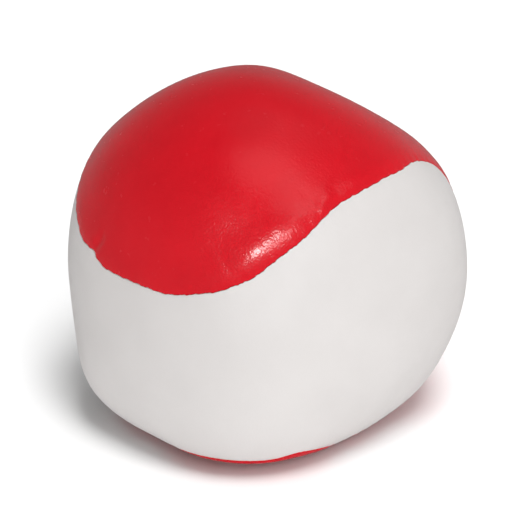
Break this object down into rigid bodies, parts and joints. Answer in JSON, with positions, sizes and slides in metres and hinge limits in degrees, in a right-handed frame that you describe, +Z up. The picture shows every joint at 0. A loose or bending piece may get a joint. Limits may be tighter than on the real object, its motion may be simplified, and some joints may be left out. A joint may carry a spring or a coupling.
{
  "type": "juggling ball",
  "caption": "Soft bean-bag juggling ball sewn from interlocking red and white figure-eight panels, filled with loose granules and slumped onto a flat resting patch.",
  "frame": {"origin": "on the flat resting patch, straight under the middle of the ball", "axes": "+Z up, out of the resting patch through the ball; the pictured front faces -Y, with the white waist towards the front left and the red waist towards the back right"},
  "size_m": [0.0651, 0.0573, 0.0598],
  "materials": {
    "red_leather": "smooth, semi-gloss imitation leather with a fine grain",
    "white_leather": "smooth, satin imitation leather",
    "thread": "twisted polyester sewing thread",
    "granules": "translucent cut plastic granulate"
  },
  "bodies": {
    "root": {"red_panel": "red_leather", "white_panel": "white_leather", "needle_thread": "thread", "bobbin_thread": "thread", "closing_thread": "thread", "filling": "granules"}
  },
  "joints": []
}
